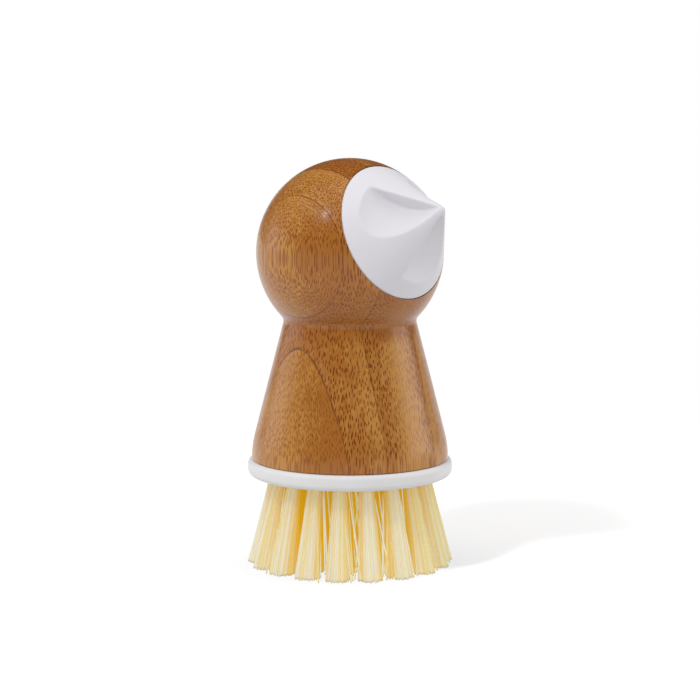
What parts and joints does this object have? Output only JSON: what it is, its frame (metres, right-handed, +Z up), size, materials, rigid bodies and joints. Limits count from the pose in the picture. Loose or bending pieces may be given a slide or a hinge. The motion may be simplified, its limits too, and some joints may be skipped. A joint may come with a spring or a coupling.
{
  "type": "dish brush",
  "caption": "Round palm brush: a turned bamboo ball-and-skirt handle with a white fluted scraping point let into the ball, on a round white block of pale bristle tufts.",
  "frame": {"origin": "on the handle's axis, in the plane of the bristle tips", "axes": "+Z up along the handle to the ball, +X the horizontal direction in which the fluted tool points, Y square to the glue planes of the bamboo"},
  "size_m": [0.0632, 0.057, 0.1129],
  "materials": {
    "bamboo": "satin lacquered caramelised bamboo, fibres along the handle",
    "tool_plastic": "moulded white plastic, satin",
    "block_plastic": "moulded white plastic, satin",
    "nylon": "pale yellow translucent nylon filaments",
    "staple_wire": "drawn flat wire"
  },
  "bodies": {
    "root": {"bamboo_strip_1_ball": "bamboo", "bamboo_strip_1_skirt": "bamboo", "bamboo_strip_2": "bamboo", "bamboo_strip_3": "bamboo", "bamboo_strip_4": "bamboo", "bamboo_strip_5": "bamboo", "bamboo_strip_6": "bamboo", "fluted_tool": "tool_plastic", "tuft_block": "block_plastic", "centre_tufts": "nylon", "inner_tufts": "nylon", "middle_tufts": "nylon", "outer_tufts": "nylon", "staple_centre_1": "staple_wire", "staple_inner_1": "staple_wire", "staple_inner_2": "staple_wire", "staple_inner_3": "staple_wire", "staple_inner_4": "staple_wire", "staple_inner_5": "staple_wire", "staple_inner_6": "staple_wire", "staple_middle_1": "staple_wire", "staple_middle_2": "staple_wire", "staple_middle_3": "staple_wire", "staple_middle_4": "staple_wire", "staple_middle_5": "staple_wire", "staple_middle_6": "staple_wire", "staple_middle_7": "staple_wire", "staple_middle_8": "staple_wire", "staple_middle_9": "staple_wire", "staple_middle_10": "staple_wire", "staple_middle_11": "staple_wire", "staple_middle_12": "staple_wire", "staple_outer_1": "staple_wire", "staple_outer_2": "staple_wire", "staple_outer_3": "staple_wire", "staple_outer_4": "staple_wire", "staple_outer_5": "staple_wire", "staple_outer_6": "staple_wire", "staple_outer_7": "staple_wire", "staple_outer_8": "staple_wire", "staple_outer_9": "staple_wire", "staple_outer_10": "staple_wire", "staple_outer_11": "staple_wire", "staple_outer_12": "staple_wire", "staple_outer_13": "staple_wire", "staple_outer_14": "staple_wire", "staple_outer_15": "staple_wire", "staple_outer_16": "staple_wire", "staple_outer_17": "staple_wire", "staple_outer_18": "staple_wire"}
  },
  "joints": []
}
